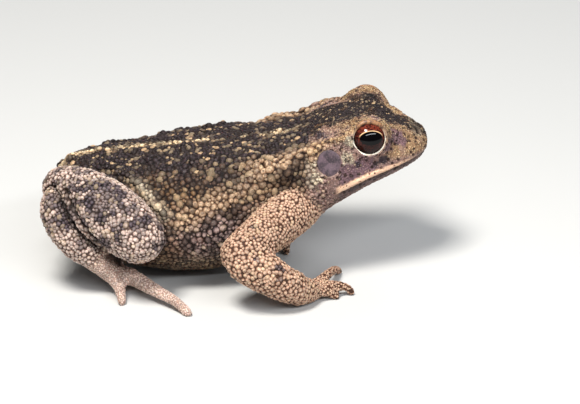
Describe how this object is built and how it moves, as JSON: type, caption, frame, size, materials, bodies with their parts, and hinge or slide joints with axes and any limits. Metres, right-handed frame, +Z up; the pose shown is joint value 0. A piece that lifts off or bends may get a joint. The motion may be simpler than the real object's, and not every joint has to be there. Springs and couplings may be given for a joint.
{
  "type": "american toad",
  "caption": "Life-size still model of an adult American toad sitting with its head raised, warty, with parotoid glands, round eardrums and toes on the floor.",
  "frame": {"origin": "middle of the toad's box, on the floor that its belly, hands and feet rest on", "axes": "+X forward from rump to snout, +Y to the toad's left, +Z up"},
  "size_m": [0.0816, 0.07, 0.0359],
  "materials": {
    "head_skin": "satin, moist warty skin",
    "jaw_skin": "satin, moist granular skin",
    "trunk_skin": "satin, dry warty skin",
    "eye": "wet gloss",
    "eardrum": "thin smooth skin",
    "leg_skin": "satin, granular skin",
    "foot_skin": "satin, fine soft skin"
  },
  "bodies": {
    "root": {"head": "head_skin", "lower_jaw": "jaw_skin", "trunk": "trunk_skin", "eye_R": "eye", "eye_L": "eye", "tympanum_R": "eardrum", "tympanum_L": "eardrum", "upper_arm_R": "leg_skin", "upper_arm_L": "leg_skin", "forearm_R": "leg_skin", "forearm_L": "leg_skin", "hand_R": "foot_skin", "hand_L": "foot_skin", "thigh_R": "leg_skin", "thigh_L": "leg_skin", "shank_R": "leg_skin", "shank_L": "leg_skin", "tarsus_R": "leg_skin", "tarsus_L": "leg_skin", "foot_R": "foot_skin", "foot_L": "foot_skin"}
  },
  "joints": []
}
